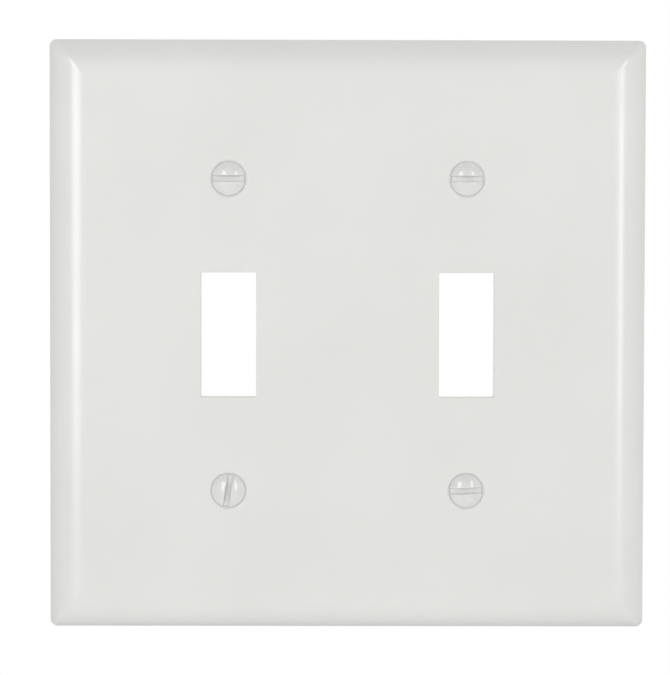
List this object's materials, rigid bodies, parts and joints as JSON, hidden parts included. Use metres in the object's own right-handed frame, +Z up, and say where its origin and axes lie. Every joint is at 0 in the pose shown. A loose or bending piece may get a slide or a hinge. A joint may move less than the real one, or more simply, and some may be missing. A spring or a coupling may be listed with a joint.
{
  "type": "toggle switch wall plate",
  "caption": "Two-gang wall plate with an upright opening for a toggle in each gang, a rolled rim, and oval-head slotted screws held captive by retaining washers.",
  "frame": {"origin": "centre of the plane that the rim presses against the wall", "axes": "+Y into the wall, +Z up, +X to the right seen from the front; the front faces -Y"},
  "size_m": [0.1158, 0.0137, 0.1142],
  "materials": {
    "plate": "smooth gloss white moulding with a faint orange peel",
    "screw": "white gloss paint on the head, bare zinc-plated shank",
    "washer": "dry matt fibre"
  },
  "bodies": {
    "plate": {"wall_plate": "plate"},
    "washer_top_left": {"retaining_washer_top_left": "washer"},
    "screw_top_left": {"screw_top_left": "screw"},
    "washer_top_right": {"retaining_washer_top_right": "washer"},
    "screw_top_right": {"screw_top_right": "screw"},
    "washer_bottom_left": {"retaining_washer_bottom_left": "washer"},
    "screw_bottom_left": {"screw_bottom_left": "screw"},
    "washer_bottom_right": {"retaining_washer_bottom_right": "washer"},
    "screw_bottom_right": {"screw_bottom_right": "screw"}
  },
  "joints": [
    {"name": "screw_play_top_left", "type": "slide", "parent": "plate", "child": "washer_top_left", "axis": [0, -1, 0], "range_m": [0, 0.00062]},
    {"name": "screw_turn_top_left", "type": "hinge", "parent": "washer_top_left", "child": "screw_top_left", "pos_m": [-0.02302, 0, 0.03017], "axis": [0, -1, 0], "continuous": true},
    {"name": "screw_play_top_right", "type": "slide", "parent": "plate", "child": "washer_top_right", "axis": [0, -1, 0], "range_m": [0, 0.00062]},
    {"name": "screw_turn_top_right", "type": "hinge", "parent": "washer_top_right", "child": "screw_top_right", "pos_m": [0.02302, 0, 0.03017], "axis": [0, -1, 0], "continuous": true},
    {"name": "screw_play_bottom_left", "type": "slide", "parent": "plate", "child": "washer_bottom_left", "axis": [0, -1, 0], "range_m": [0, 0.00062]},
    {"name": "screw_turn_bottom_left", "type": "hinge", "parent": "washer_bottom_left", "child": "screw_bottom_left", "pos_m": [-0.02302, 0, -0.03017], "axis": [0, -1, 0], "continuous": true},
    {"name": "screw_play_bottom_right", "type": "slide", "parent": "plate", "child": "washer_bottom_right", "axis": [0, -1, 0], "range_m": [0, 0.00062]},
    {"name": "screw_turn_bottom_right", "type": "hinge", "parent": "washer_bottom_right", "child": "screw_bottom_right", "pos_m": [0.02302, 0, -0.03017], "axis": [0, -1, 0], "continuous": true}
  ]
}
